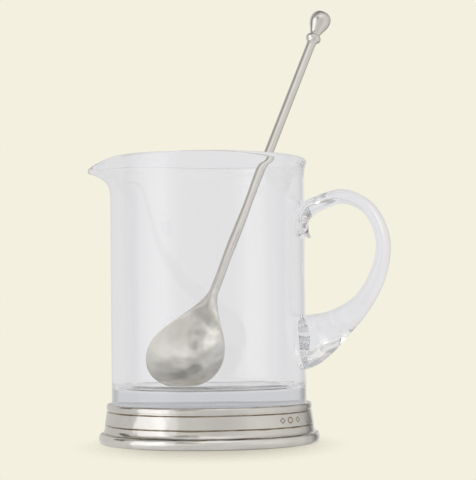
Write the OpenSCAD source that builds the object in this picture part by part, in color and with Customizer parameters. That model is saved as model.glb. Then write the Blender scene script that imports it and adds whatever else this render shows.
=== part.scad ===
// Cocktail pitcher: a glass jug with a pulled spout and an applied handle, set in a
// moulded pewter base, with a long pewter mixing spoon leaning in it.
// Millimetres. +Z is up, +X points to the handle, -X to the spout.
// The origin is on the table, on the axis of the jug.

/* [Glass body] */
// Outside diameter of the glass body
body_d = 110; // [90:1:130]
// Height of the rim above the table
rim_z = 159.4; // [140:0.2:200]
// Thickness of the glass wall
wall_t = 3; // [2:0.25:4]
// Thickness of the fire-polished bead round the rim
bead_t = 4; // [3:0.25:5]
// How far the rim flares outwards
rim_flare = 1; // [0:0.25:2]
// Height over which the rim flares
flare_h = 9; // [6:1:12]
// Thickness of the solid glass floor
floor_t = 15.4; // [8:0.2:18]
// Radius of the corner between the floor and the wall, inside
inner_corner = 3.5; // [2:0.5:12]
// Radius of the corner under the glass, outside
outer_corner = 4; // [2:0.5:6]
// Depth of the hollow under the glass floor
punt_h = 5; // [2:0.5:6]

/* [Spout] */
// How far the spout stands out past the wall
spout_reach = 16; // [10:1:20]
// How far the lip of the spout dips below the rim
spout_drop = 4; // [2:0.2:6]
// Height of the wall that bends out into the spout
spout_h = 22; // [16:1:28]
// How much the rim rises towards the spout
rim_rise = 1.4; // [0:0.2:2]

/* [Glass handle] */
// How far the handle stands out past the wall
handle_reach = 49; // [40:1:60]
// Height of the handle, from the bottom of its root to its top
handle_h = 100; // [90:1:112]
// Height of the bottom of the handle's root above the table
handle_z = 41; // [36:1:46]
// Thickness of the strap, seen from the side
strap_t = 8; // [6:0.5:10]
// Width of the strap, seen from behind
strap_w = 15; // [12:0.5:18]
// Gap between the handle and the wall that it is fused to
fuse_gap = 0.1; // [0.05:0.05:0.2]

/* [Pewter base] */
// Height of the rolled foot ring
foot_h = 5.5; // [5:0.1:7]
// How far the foot ring bulges past its own bottom edge
foot_roll = 1.4; // [1:0.1:2]
// Height of the hollow moulding above the foot ring
cove_h = 4.7; // [3:0.1:6]
// How far the hollow moulding runs in towards the band
cove_in = 2; // [1:0.1:3]
// Height of the flat band
band_h = 7.6; // [6:0.1:10]
// How far the flat band leans in from bottom to top
band_lean = 1; // [0:0.1:2]
// Height of the bead round the top of the band
crown_h = 4.2; // [3:0.1:5]
// How far the bead stands out from the collar
crown_proud = 0.9; // [0.5:0.1:1.2]
// Thickness of the collar round the glass
collar_t = 2.5; // [2:0.1:4]
// Width of a turned groove
groove_w = 0.9; // [0.5:0.1:1.2]
// Depth of a turned groove
groove_d = 0.7; // [0.3:0.1:1]
// How deep the glass stands in the collar
glass_sink = 7; // [6:0.5:9]
// Thickness of the ledge that the glass stands on
ledge_t = 3; // [2:0.5:4]
// Width of the ledge that the glass stands on
ledge_w = 6.5; // [4:0.5:10]
// Wall of the band below the ledge
skirt_t = 9; // [6:0.5:10]
// Width of the step that the band stands on
spigot_w = 5; // [3:0.5:6]
// Depth of the step that the band stands on
spigot_h = 1; // [0.5:0.1:1.5]
// Thickness of the plate that closes the base
plate_t = 1.5; // [1:0.1:2]
// How far the plate sits up inside the foot ring
plate_up = 1.5; // [1:0.1:1.6]
// Width of the shelf that the plate is soldered to
plate_shelf = 2.5; // [1.5:0.5:3]
// Width of the foot ring that rests on the table
foot_land = 7; // [6:0.5:9]
// Thickness of the cement between the glass and the pewter
cement_t = 0.5; // [0.3:0.05:0.8]
// Width of the cement under the glass
cement_w = 7; // [5:0.5:9]
// Height of the cement up the side of the glass
cement_h = 5; // [4.5:0.25:6]
// Gap left for the solder in every soldered joint
solder_gap = 0.05; // [0.03:0.01:0.1]

/* [Mixing spoon] */
// Width of the spoon's bowl
bowl_w = 44; // [36:0.2:52]
// Length of the spoon's bowl, with its shoulder
bowl_l = 66; // [58:1:72]
// Depth of the hollow in the bowl
bowl_depth = 8.5; // [6:0.5:11]
// Thickness of the bowl
bowl_t = 1.4; // [1:0.1:2]
// How far the bowl's tip stands forward of the shaft
bowl_forward = 14; // [0:0.5:16]
// Length of the shaft between the bowl and the collar
shaft_l = 169; // [150:1:200]
// Diameter of the shaft where it meets the bowl
shaft_d = 5.5; // [4.5:0.1:7]
// Diameter of the shaft where it meets the collar
shaft_top_d = 5.4; // [4.4:0.1:6]
// Diameter of the collar bead
bead_d = 9.2; // [8:0.1:11]
// Length of the collar
bead_l = 7; // [5:0.5:9]
// Diameter of the pear-shaped finial
finial_d = 12.6; // [10:0.2:16]
// Length of the finial
finial_l = 16.4; // [12:0.2:20]
// Diameter of the pin turned on the end of the shaft
tenon_d = 3; // [2.4:0.1:3.6]
// How far that pin reaches into the finial
tenon_l = 6; // [4:0.5:8]
// Clearance round that pin
tenon_gap = 0.05; // [0.03:0.01:0.1]

/* [Place of the spoon] */
// Angle of the spoon from upright, in degrees
lean = 27.4; // [24:0.1:31]
// Direction that the spoon leans in, in degrees from +X towards +Y
lean_dir = 51; // [46:0.1:58]
// Direction of the place on the rim where the shaft lies, in degrees
rim_dir = 60.2; // [54:0.1:64]
// Turn of the spoon about its own shaft, in degrees
roll = -52.5; // [-80:0.5:-30]
// Gap between the spoon and the glass that it lies against
lie_gap = 0.3; // [0.3:0.05:0.5]

/* [Hidden] */

glass_tint = [0.86, 0.89, 0.89, 0.45];
pewter = [0.66, 0.65, 0.61];
pewter_bright = [0.74, 0.73, 0.70];
cement = [0.88, 0.87, 0.82];

// Heights of the base, from the table up
cove_z = foot_h;
band_z = cove_z + cove_h;
crown_z = band_z + band_h;
base_h = crown_z + crown_h;

// Radii of the base, worked out from the glass that it holds
body_r = body_d / 2;
collar_bore = body_r + cement_t;
band_top_r = collar_bore + collar_t;
band_foot_r = band_top_r + band_lean;
cove_foot_r = band_foot_r + cove_in;
foot_r = cove_foot_r + foot_roll;
plate_r = cove_foot_r - foot_land;
skirt_r = cove_foot_r - skirt_t;
spigot_r = skirt_r + spigot_w;
ledge_r = collar_bore - ledge_w;

// Heights of the glass
glass_z = base_h - glass_sink;
ledge_z = glass_z - cement_t;
floor_z = glass_z + floor_t;

// The shape of the glass wall: its middle line runs down from the rim
mid_r = body_r - wall_t / 2;
bead_r = bead_t / 2;
spout_half_angle = 14;
spout_thin_share = 0.25;
spout_dip_share = 0.5;
rise_half_angle = 70;
rise_run_share = 2;
wall_columns = 96;
bead_steps = 6;
corner_steps = 4;
wall_depth_shares = [0, 0.008, 0.018, 0.03, 0.045, 0.062, 0.08, 0.1, 0.13, 0.17, 0.25, 0.45, 0.7];
wall_run = rim_z - bead_r - floor_z - inner_corner;

// Small step along a curve, used to find its direction
nudge_share = 0.001;
nudge = wall_run * nudge_share;

// The handle: one row for each station from the tail to the root, as shares of
// [reach, height, half the thickness, half the width]
strap_shares = [
    [0.063, 0.734, 0.22, 0.80],
    [0.024, 0.763, 0.42, 1.15],
    [0.004, 0.804, 0.53, 1.40],
    [0.004, 0.846, 0.82, 1.65],
    [0.057, 0.893, 1.10, 1.75],
    [0.163, 0.921, 1.07, 1.45],
    [0.296, 0.946, 1.04, 1.20],
    [0.422, 0.961, 1.02, 1.07],
    [0.720, 0.905, 0.96, 1.00],
    [0.908, 0.720, 1.00, 1.00],
    [0.847, 0.520, 1.17, 1.04],
    [0.650, 0.356, 1.45, 1.16],
    [0.380, 0.245, 2.25, 1.40],
    [0.198, 0.192, 3.08, 1.70],
    [0.022, 0.155, 3.72, 2.05],
    [-0.102, 0.133, 3.70, 2.00]
];
strap_steps = 3;
strap_sides = 20;
cap_shares = [0.7, 0.4];
root_widen_share = 0.4;
seat_r = body_r + fuse_gap;

// The bowl of the spoon
bowl_r = bowl_w / 2;
neck_r = shaft_d / 2;
bowl_round_share = 0.87;
bowl_sides = 28;
bowl_rows_round = 14;
bowl_rows_neck = 16;

// The finial and the collar, as shares of [greatest radius, length]
pear_shares = [
    [0.48, 0.00], [0.50, 0.06], [0.60, 0.17], [0.75, 0.31], [0.90, 0.45], [0.985, 0.57],
    [1.00, 0.66], [0.95, 0.79], [0.80, 0.89], [0.55, 0.96], [0.28, 0.99], [0.00, 1.00]
];
bead_shares = [
    [0.60, 0.00], [0.62, 0.10], [0.60, 0.20], [0.68, 0.32], [0.88, 0.45], [1.00, 0.62],
    [0.98, 0.76], [0.86, 0.90], [0.70, 0.97], [0.66, 1.00]
];
turned_steps = 3;

// Where the shaft lies on the rim, and how far down its axis the tip of the bowl is
rim_rest_r = mid_r + rim_flare - (bead_r + shaft_d / 2 + lie_gap) / cos(lean);
rim_rest = [rim_rest_r * cos(rim_dir), rim_rest_r * sin(rim_dir), rim_z - bead_r];
spoon_axis = [sin(lean) * cos(lean_dir), sin(lean) * sin(lean_dir), cos(lean)];

// The middle line of the glass wall at a depth below the bead and an angle from the spout
function spread(angle, half_angle) = exp(-pow(abs(angle) / half_angle, 1.5));
function bend(depth, run, power) = pow(max(0, 1 - depth / run), power);
function lip_r(angle) = bead_r * (1 - spout_thin_share * spread(angle, spout_half_angle));
function wall_line(depth, angle) = [
    mid_r + rim_flare * bend(depth, flare_h, 2)
        + (spout_reach - rim_flare - bead_r + wall_t / 2) * spread(angle, spout_half_angle) * bend(depth, spout_h, 2),
    rim_z - bead_r - depth
        + rim_rise * spread(angle, rise_half_angle) * bend(depth, spout_h * rise_run_share, 1)
        - spout_drop * spread(angle, spout_half_angle) * bend(depth, spout_h * spout_dip_share, 1.5)
];

// The direction down the wall, and the half thickness, which grows into the bead
function wall_down(depth, angle) =
    let (run = wall_line(depth + nudge, angle) - wall_line(depth, angle)) run / norm(run);
function wall_half(depth, angle) = wall_t / 2 + (lip_r(angle) - wall_t / 2) * bend(depth, flare_h, 3);

// A point on one skin of the wall: side is 1 outside and -1 inside
function wall_skin(depth, angle, side) =
    let (down = wall_down(depth, angle))
    wall_line(depth, angle) + side * wall_half(depth, angle) * [-down.y, down.x];

// A point round the top of the bead, from inside at 0 to outside at 180 degrees
function bead_skin(turn, angle) =
    let (down = wall_down(0, angle))
    wall_line(0, angle) - lip_r(angle) * (cos(turn) * [-down.y, down.x] + sin(turn) * down);

// The whole section of the glass at one angle, from the middle of the floor inside,
// up the wall, over the bead and down to the middle of the hollow underneath
function glass_section(angle) = concat(
    [[body_r / 3, floor_z], [mid_r - wall_t / 2 - inner_corner, floor_z]],
    [for (i = [1 : corner_steps]) let (turn = 90 * i / corner_steps)
        [mid_r - wall_t / 2 - inner_corner * (1 - sin(turn)), floor_z + inner_corner * (1 - cos(turn))]],
    [for (i = [len(wall_depth_shares) - 1 : -1 : 0]) wall_skin(wall_run * wall_depth_shares[i], angle, -1)],
    [for (i = [1 : bead_steps - 1]) bead_skin(180 * i / bead_steps, angle)],
    [for (share = wall_depth_shares) wall_skin(wall_run * share, angle, 1)],
    [for (i = [0 : corner_steps]) let (turn = 90 * i / corner_steps)
        [body_r - outer_corner * (1 - cos(turn)), glass_z + outer_corner * (1 - sin(turn))]],
    [[ledge_r - cement_w / 2, glass_z], [body_r / 3, glass_z + punt_h]]
);

// Joins rings of points of one length into a closed solid, with a point at each end
module closed_loft(first, rings, last) {
    count = len(rings[0]);
    rows = len(rings);
    points = concat([first], [for (ring = rings) each ring], [last]);
    function at(row, column) = 1 + row * count + (column % count);
    polyhedron(points, concat(
        [for (i = [0 : count - 1]) [0, at(0, i), at(0, i + 1)]],
        [for (row = [0 : rows - 2], i = [0 : count - 1]) each [
            [at(row, i), at(row + 1, i), at(row + 1, i + 1)],
            [at(row, i), at(row + 1, i + 1), at(row, i + 1)]
        ]],
        [for (i = [0 : count - 1]) [len(points) - 1, at(rows - 1, i + 1), at(rows - 1, i)]]
    ));
}

module glass_vessel() {
    sections = [for (i = [0 : wall_columns - 1]) let (turn = 360 * i / wall_columns) glass_section(180 - abs(turn - 180))];
    rings = [for (row = [0 : len(sections[0]) - 1]) [for (i = [0 : wall_columns - 1])
        let (turn = 180 - 360 * i / wall_columns, p = sections[i][row])
        [p.x * cos(turn), p.x * sin(turn), p.y]]];
    color(glass_tint) closed_loft([0, 0, floor_z], rings, [0, 0, glass_z + punt_h]);
}

// A smooth curve through the rows of a table, with a number of steps in each span
function slope(rows, i) =
    let (
        a = max(i - 1, 0),
        b = min(i + 1, len(rows) - 1),
        before = norm(rows[i] - rows[a]),
        after = norm(rows[b] - rows[i])
    )
    i == a ? (rows[b] - rows[i]) / after
    : i == b ? (rows[i] - rows[a]) / before
    : ((rows[b] - rows[i]) * before / after + (rows[i] - rows[a]) * after / before) / (before + after);
function span_point(rows, i, t) =
    let (reach = norm(rows[i + 1] - rows[i]))
    (2 * t * t * t - 3 * t * t + 1) * rows[i] + (t * t * t - 2 * t * t + t) * reach * slope(rows, i)
    + (3 * t * t - 2 * t * t * t) * rows[i + 1] + (t * t * t - t * t) * reach * slope(rows, i + 1);
function smooth_curve(rows, steps) = concat(
    [for (i = [0 : len(rows) - 2], k = [0 : steps - 1]) span_point(rows, i, k / steps)],
    [rows[len(rows) - 1]]
);

// A point of the handle that would lie inside the wall is moved out onto it
function onto_wall(p) = norm([p.x, p.y]) < seat_r && abs(p.y) < seat_r
    ? [sqrt(seat_r * seat_r - p.y * p.y), p.y, p.z] : p;

// One oval ring of the handle round a station, square to the direction it runs in
function strap_ring(station, along, size) =
    let (outward = [-along.y, along.x] / norm(along))
    [for (i = [0 : strap_sides - 1])
        let (
            turn = 360 * i / strap_sides,
            widen = 1 - root_widen_share * cos(turn) * station[2] / (strap_t * 2),
            middle = [station.x, station.y] + size * station[2] * cos(turn) * outward
        )
        onto_wall([middle.x, size * station[3] * sin(turn) * widen, middle.y])];

module glass_handle() {
    rows = [for (row = strap_shares) [
        body_r + handle_reach * row[0], handle_z + handle_h * row[1], strap_t / 2 * row[2], strap_w / 2 * row[3]]];
    line = smooth_curve(rows, strap_steps);
    last = len(line) - 1;
    function along(i) =
        let (run = line[min(i + 1, last)] - line[max(i - 1, 0)]) [run.x, run.y];
    rings = concat(
        [for (i = [0 : last]) strap_ring(line[i], along(i), 1)],
        [for (share = cap_shares) strap_ring(line[last], along(last), share)]
    );
    tail = [line[0].x, 0, line[0].y];
    root = onto_wall([line[last].x, 0, line[last].y]);
    color(glass_tint) closed_loft(tail, rings, root);
}

// Points along part of an ellipse
function ellipse_arc(middle, half_w, half_h, from, to, steps) = [for (i = [0 : steps])
    let (turn = from + (to - from) * i / steps)
    middle + [half_w * cos(turn), half_h * sin(turn)]];

// A pointed groove in an upright face
function groove(r, z) = [[r, z - groove_w / 2], [r - groove_d, z], [r, z + groove_w / 2]];

module foot_ring() {
    shelf_z = plate_up + plate_t + solder_gap;
    seat_z = foot_h - spigot_h;
    outline = concat(
        [[plate_r + solder_gap, 0]],
        ellipse_arc([cove_foot_r, foot_h / 2], foot_roll, foot_h / 2, -90, 90, 12),
        [[spigot_r + solder_gap, foot_h], [spigot_r + solder_gap, seat_z],
         [plate_r - plate_shelf, seat_z], [plate_r - plate_shelf, shelf_z], [plate_r + solder_gap, shelf_z]]
    );
    color(pewter_bright) rotate_extrude($fn = 96) polygon(outline);
}

module base_band() {
    seat_z = foot_h - spigot_h + solder_gap;
    rise = band_z - foot_h - solder_gap - groove_w / 2;
    outline = concat(
        [[skirt_r, seat_z], [spigot_r, seat_z], [spigot_r, foot_h + solder_gap]],
        ellipse_arc([cove_foot_r, band_z - groove_w / 2], cove_in, rise, -90, -180, 8),
        [[band_foot_r - groove_d, band_z], [band_foot_r, band_z + groove_w / 2],
         [band_top_r, crown_z - groove_w / 2], [band_top_r - groove_d, crown_z]],
        ellipse_arc([band_top_r - crown_proud, (crown_z + base_h) / 2 + groove_w / 4],
            crown_proud, (crown_h - groove_w / 2) / 2, -90, 90, 10),
        [[collar_bore, base_h], [collar_bore, ledge_z], [ledge_r, ledge_z], [ledge_r, ledge_z - ledge_t],
         [skirt_r, ledge_z - ledge_t]]
    );
    color(pewter) rotate_extrude($fn = 96) polygon(outline);
}

module base_plate() {
    color(pewter) translate([0, 0, plate_up]) cylinder(h = plate_t, r = plate_r, $fn = 96);
}

// The cement lines the collar and the ledge, and follows the corner of the glass
module bond_ring() {
    outline = concat(
        [[ledge_r, ledge_z + solder_gap], [collar_bore - solder_gap, ledge_z + solder_gap],
         [collar_bore - solder_gap, glass_z + cement_h], [body_r + solder_gap, glass_z + cement_h]],
        ellipse_arc([body_r - outer_corner, glass_z + outer_corner], outer_corner + solder_gap,
            outer_corner + solder_gap, 0, -90, 8),
        [[ledge_r, glass_z - solder_gap]]
    );
    color(cement) rotate_extrude($fn = 96) polygon(outline);
}

// How full the bowl is at a distance from its tip: 1 where it is widest, 0 at the tip and the neck
function bowl_full(w) = w < bowl_r
    ? sqrt(max(0, 1 - pow((bowl_r - w) / bowl_r, 2)))
    : pow((1 + cos(180 * (w - bowl_r) / (bowl_l - bowl_r))) / 2, bowl_round_share);
function bowl_half_w(w) = w < bowl_r ? bowl_r * bowl_full(w) : neck_r + (bowl_r - neck_r) * bowl_full(w);
function bowl_half_t(w) = w < bowl_r
    ? bowl_t / 2 * sqrt(max(0, 1 - pow((bowl_r - w) / bowl_r, 8)))
    : bowl_t / 2 + (neck_r - bowl_t / 2) * pow(1 - bowl_full(w), 3);
function bowl_hollow(w) = bowl_depth * pow(bowl_full(w), 2);
function bowl_front(w) = bowl_forward * pow(1 - w / bowl_l, 1.6);

// One ring round the bowl: the hollow faces -Y and the shaft runs up +Z
function bowl_ring(w) = [for (i = [0 : bowl_sides - 1])
    let (turn = 360 * i / bowl_sides, out = cos(turn))
    [bowl_half_w(w) * sin(turn), bowl_hollow(w) * out * out - bowl_half_t(w) * out - bowl_front(w), w]];
bowl_rows = concat(
    [for (i = [1 : bowl_rows_round]) bowl_r * (1 - cos(90 * i / bowl_rows_round))],
    [for (i = [1 : bowl_rows_neck]) bowl_r + (bowl_l - bowl_r) * i / bowl_rows_neck]
);
bowl_rings = [for (w = bowl_rows) bowl_ring(w)];

// Height of a point of the spoon above its own tip, once the spoon leans
function leaning_height(p) = cos(lean) * p.z - sin(lean) * (p.x * cos(roll) - p.y * sin(roll));
bowl_lowest = min([for (ring = bowl_rings, p = ring) leaning_height(p)]);
tip_drop = (rim_rest.z + bowl_lowest - floor_z - lie_gap) / cos(lean);
spoon_at = rim_rest - tip_drop * spoon_axis;

module in_spoon_place() {
    translate(spoon_at) rotate([0, lean, lean_dir]) rotate([0, 0, roll]) children();
}

module spoon_bowl() {
    color(pewter_bright) in_spoon_place()
        closed_loft([0, -bowl_front(0), 0], bowl_rings, [0, 0, bowl_l]);
}

module spoon_shaft() {
    color(pewter) in_spoon_place() translate([0, 0, bowl_l]) union() {
        cylinder(h = shaft_l, d1 = shaft_d, d2 = shaft_top_d, $fn = 48);
        cylinder(h = shaft_l + bead_l + tenon_l, d = tenon_d, $fn = 48);
    }
}

// Turns an outline given as shares of a radius and a length
module turned(shares, r, l, bore_h) {
    outline = [for (p = smooth_curve(shares, turned_steps)) [max(0, p.x) * r, p.y * l]];
    bore = tenon_d / 2 + tenon_gap;
    difference() {
        rotate_extrude($fn = 96) polygon(concat([[0, 0]], outline, [[0, l]]));
        translate([0, 0, -l]) cylinder(h = l + bore_h, r = bore, $fn = 48);
    }
}

module spoon_collar() {
    color(pewter_bright) in_spoon_place() translate([0, 0, bowl_l + shaft_l])
        turned(bead_shares, bead_d / 2, bead_l, bead_l * 2);
}

module spoon_finial() {
    color(pewter_bright) in_spoon_place() translate([0, 0, bowl_l + shaft_l + bead_l])
        turned(pear_shares, finial_d / 2, finial_l, tenon_l + tenon_gap);
}

glass_vessel();
glass_handle();
base_band();
foot_ring();
base_plate();
bond_ring();
spoon_bowl();
spoon_shaft();
spoon_collar();
spoon_finial();
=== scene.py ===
# %% [markdown]
# # A cocktail pitcher of glass and pewter
#
# The pitcher is a blown glass jug with a pulled spout and a handle laid on hot. It stands
# in a cast and turned pewter base, and a long pewter mixing spoon leans in it. The CAD
# model gives every size. This script makes each visible piece again as a smooth surface
# worked out with numpy, from the same formulas as the CAD source, and then gives it its
# finish. The object's sizes are written in millimetres and turned to metres when a mesh
# is made. The lamps and the floor are written in metres.

# %% Load the frame
import math

import bpy
import numpy as np
from mathutils import Matrix


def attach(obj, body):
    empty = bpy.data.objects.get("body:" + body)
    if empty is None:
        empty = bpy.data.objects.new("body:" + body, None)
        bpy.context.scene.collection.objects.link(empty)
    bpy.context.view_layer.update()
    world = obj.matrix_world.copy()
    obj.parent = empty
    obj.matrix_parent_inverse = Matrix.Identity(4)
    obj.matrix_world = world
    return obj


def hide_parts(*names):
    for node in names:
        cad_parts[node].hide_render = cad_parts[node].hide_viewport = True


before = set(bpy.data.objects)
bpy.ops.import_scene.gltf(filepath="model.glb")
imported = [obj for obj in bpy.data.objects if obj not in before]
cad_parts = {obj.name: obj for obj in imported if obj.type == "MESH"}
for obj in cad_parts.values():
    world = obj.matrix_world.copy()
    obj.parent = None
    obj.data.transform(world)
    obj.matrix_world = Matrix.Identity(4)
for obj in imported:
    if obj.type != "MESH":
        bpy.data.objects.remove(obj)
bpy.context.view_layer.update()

# %% [markdown]
# ## The camera
#
# The photograph looks almost level at the jug: the back of the rim lies just below the
# front of it, and the foot curves the other way. Those two curves give the height of the
# camera and its distance. The camera is aimed a little up and to the right, and a small
# lens shift does the rest, so that upright lines stay almost upright. The handle is
# turned a little towards the back, which gives the angle.

# %% Place the camera
VIEW_TURN = 12.0  # degrees from -Y towards +X
VIEW_DISTANCE, VIEW_HEIGHT = 896.4, 72.5
FOCAL_PIXELS, FRAME_H, SENSOR_H = 1580.0, 480, 36.0
CAMERA_PAN, CAMERA_TILT, CAMERA_ROLL = 1.084, 1.6, -0.6  # degrees
CAMERA_SHIFT = 0.06

turn = math.radians(VIEW_TURN)
towards_camera = (math.sin(turn), -math.cos(turn), 0.0)
to_the_right = (math.cos(turn), math.sin(turn), 0.0)
camera_data = bpy.data.cameras.new("camera")
camera_data.sensor_fit = "VERTICAL"
camera_data.sensor_height = SENSOR_H
camera_data.lens = FOCAL_PIXELS * SENSOR_H / FRAME_H
camera_data.shift_y = CAMERA_SHIFT
camera = bpy.data.objects.new("camera", camera_data)
stand = [VIEW_DISTANCE * v / 1000 for v in towards_camera[:2]] + [VIEW_HEIGHT / 1000]
pan, tilt, roll = (math.radians(v) for v in (CAMERA_PAN, CAMERA_TILT, CAMERA_ROLL))
aim = Matrix.Rotation(turn - pan, 4, "Z") @ Matrix.Rotation(math.pi / 2 + tilt, 4, "X")
camera.matrix_world = Matrix.Translation(stand) @ aim @ Matrix.Rotation(roll, 4, "Z")
scene = bpy.context.scene
scene.collection.objects.link(camera)
bpy.context.scene.camera = camera
print("camera lens %.1f mm, shift %.3f" % (camera_data.lens, camera_data.shift_y))

# %% [markdown]
# ## From points to a mesh
#
# Most pieces here are a stack of rings: a profile carried round an axis or along a path.
# If the points are kept in an array of rows and columns, the faces between them follow
# from the array's shape alone. One helper can then build every piece, with no loop over
# its points. A second one makes sure that the faces point outwards.


# %% Turn rows of rings into a closed mesh
def make_piece(name, rings, first=None, last=None):
    """Makes a mesh object from an array of rings, rows x columns x 3, in millimetres.

    Each point is joined to the next in its ring and to the one in the ring after. With
    first and last given, a fan closes each end. Without them the last ring joins the
    first, as in the skin of a hollow ring.
    """
    rows, columns = rings.shape[:2]
    upper = np.arange(rows * columns).reshape(rows, columns)
    upper_beside = np.roll(upper, -1, axis=1)
    lower, lower_beside = np.roll(upper, -1, axis=0), np.roll(upper_beside, -1, axis=0)
    quads = np.stack([upper, upper_beside, lower_beside, lower], axis=-1)
    points, fans = rings.reshape(-1, 3), []
    if first is not None:
        quads = quads[:-1]
        points = np.vstack([points, [first], [last]])
        pole = np.full(columns, rows * columns)
        fans = np.stack([pole, upper_beside[0], upper[0]], axis=-1).tolist()
        fans += np.stack([pole + 1, upper[-1], upper_beside[-1]], axis=-1).tolist()
    mesh = bpy.data.meshes.new(name)
    mesh.from_pydata((points / 1000).tolist(), [], quads.reshape(-1, 4).tolist() + fans)
    mesh.validate()
    mesh.polygons.foreach_set("use_smooth", [True] * len(mesh.polygons))
    obj = bpy.data.objects.new(name, mesh)
    scene.collection.objects.link(obj)
    face_out(mesh)
    print(name, len(mesh.vertices), "points,", len(mesh.polygons), "faces")
    return obj


def face_out(mesh):
    """Flips all faces if the signed volume of the mesh, summed over its triangles, is negative."""
    mesh.calc_loop_triangles()
    corners = np.empty(len(mesh.loop_triangles) * 3, dtype=np.int32)
    mesh.loop_triangles.foreach_get("vertices", corners)
    points = np.empty(len(mesh.vertices) * 3)
    mesh.vertices.foreach_get("co", points)
    a, b, c = points.reshape(-1, 3)[corners].reshape(-1, 3, 3).transpose(1, 0, 2)
    if np.einsum("ij,ij->i", a, np.cross(b, c)).sum() < 0:
        mesh.flip_normals()


# %% [markdown]
# ## The glass jug
#
# A jug like this is blown into a mould, cut off and fire polished, so the rim melts into
# a round bead. The spout is pulled from the soft rim with a tool. The wall is described
# by its middle line at each angle. The spout adds a push outwards that fades with the
# angle and with the depth below the rim. Both skins lie half a wall away from that line.

# %% Sizes of the glass
BODY_D, RIM_Z, WALL_T, BEAD_T = 110.0, 159.4, 3.0, 4.0
RIM_FLARE, FLARE_H = 1.0, 9.0
FLOOR_T, INNER_CORNER, OUTER_CORNER, PUNT_H = 15.4, 3.5, 4.0, 5.0
BEAD_RUN, BEAD_STEP = 6.5, 3.4  # how far down the bead thins to the wall, inside and outside
SPOUT_REACH, SPOUT_DROP, SPOUT_H, RIM_RISE = 16.0, 4.0, 22.0, 1.4
SPOUT_HALF_ANGLE, RISE_HALF_ANGLE, SPOUT_THIN_SHARE = 14.0, 70.0, 0.25
FOOT_H, FOOT_ROLL, COVE_H, COVE_IN = 5.5, 1.4, 4.7, 2.0
BAND_H, BAND_LEAN, CROWN_H, CROWN_PROUD = 7.6, 1.0, 4.2, 0.9
GLASS_SINK, CEMENT_T, CEMENT_W = 7.0, 0.5, 7.0

BAND_Z = FOOT_H + COVE_H
CROWN_Z = BAND_Z + BAND_H
BASE_H = CROWN_Z + CROWN_H
GLASS_Z = BASE_H - GLASS_SINK
FLOOR_Z = GLASS_Z + FLOOR_T
BODY_R, MID_R, BEAD_R = BODY_D / 2, (BODY_D - WALL_T) / 2, BEAD_T / 2
INSIDE_R = MID_R - WALL_T / 2
WALL_RUN = RIM_Z - BEAD_R - FLOOR_Z - INNER_CORNER
print("glass from %.1f to %.1f mm, inside floor at %.1f" % (GLASS_Z, RIM_Z, FLOOR_Z))


# %% The middle line of the wall
def spread(angle, half_angle):
    """1 at the middle of the spout, then e to the minus (angle / half_angle) to the power 1.5."""
    return np.exp(-np.abs(angle / half_angle) ** 1.5)


def bend(depth, run, power):
    """1 at the rim, falling to 0 at the depth run: (1 - depth / run) to a power."""
    return np.maximum(0, 1 - depth / run) ** power


def wall_line(depth, angle):
    """Radius and height of the middle of the wall, at a depth below the bead.

    The angle is counted in degrees from the spout. The radius is the jug's, plus a flare
    and the spout's push outwards. The height is the rim's, less the depth, with a rise
    towards the spout and a drop at its middle.
    """
    push = SPOUT_REACH - RIM_FLARE - BEAD_R + WALL_T / 2
    radius = MID_R + RIM_FLARE * bend(depth, FLARE_H, 2)
    radius = radius + push * spread(angle, SPOUT_HALF_ANGLE) * bend(depth, SPOUT_H, 2)
    rise = RIM_RISE * spread(angle, RISE_HALF_ANGLE) * bend(depth, 2 * SPOUT_H, 1)
    drop = SPOUT_DROP * spread(angle, SPOUT_HALF_ANGLE) * bend(depth, SPOUT_H / 2, 1.5)
    return np.stack([radius, RIM_Z - BEAD_R - depth + rise - drop], axis=-1)


def wall_frame(depth, angle):
    """A point of the middle line, the way down it and the way out of the glass.

    The way down is the step to a second point 0.1 mm deeper. The way out is square to it.
    """
    here = wall_line(depth, angle)
    down = wall_line(depth + 0.1, angle) - here
    down = down / np.linalg.norm(down, axis=-1, keepdims=True)
    return here, down, np.stack([-down[..., 1], down[..., 0]], axis=-1)


print("middle of the wall at the rim: %.1f mm out at the back, %.1f at the spout" % (
    wall_line(0.0, 180.0)[0], wall_line(0.0, 0.0)[0]))

# %% [markdown]
# Blown glass is never quite even. A few slow sines of the angle and the height stand for
# that: the wall is thicker here and thinner there, the floor sags a little towards its
# edge, and the hollow under it, where the iron held the glass, is wrung a little.

# %% The waves in the glass
# A row for each wave: millimetres, waves round the jug, millimetres of depth a radian, phase.
WALL_WAVES = ((0.045, 5, 21, 0), (0.03, 11, -13, 1), (0.02, 3, 6, 0))
CALM_RUN = 25.0  # the rim was melted smooth, so the waves only grow below it
FLOOR_WAVE, PUNT_WAVE = 0.16, 2.0


def wall_waves(depth, angle):
    """The uneven thickness of the wall: sines of angle and depth, which stop at the rim."""
    a = np.radians(angle)
    waves = sum(size * np.sin(count * a + depth / run + phase) for size, count, run, phase in WALL_WAVES)
    return waves * np.clip(depth / CALM_RUN, 0, 1)


def floor_sag(radius, a):
    """How far the floor sinks: (1.7 - sin 5a - 0.7 sin (13a + r / 4)) times (r / R) squared."""
    waves = 1.7 - np.sin(5 * a) - 0.7 * np.sin(13 * a + radius / 4)
    return FLOOR_WAVE * waves * (radius / BODY_R) ** 2


def punt_height(share, a):
    """The hollow under the glass: a half ellipse over the share of its radius, plus a wrung zone.

    The wrung zone is two sines of the angle times share squared times (1 - share squared),
    so it is strongest about two thirds of the way out.
    """
    waves = 0.6 * np.sin(4 * a + 1) + 0.35 * np.sin(11 * a - 5 * share)
    return PUNT_H * np.sqrt(np.clip(1 - share**2, 0, 1)) + PUNT_WAVE * waves * share**2 * (1 - share**2)


print("the wall is off by at most %.3f mm" % sum(row[0] for row in WALL_WAVES))


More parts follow.
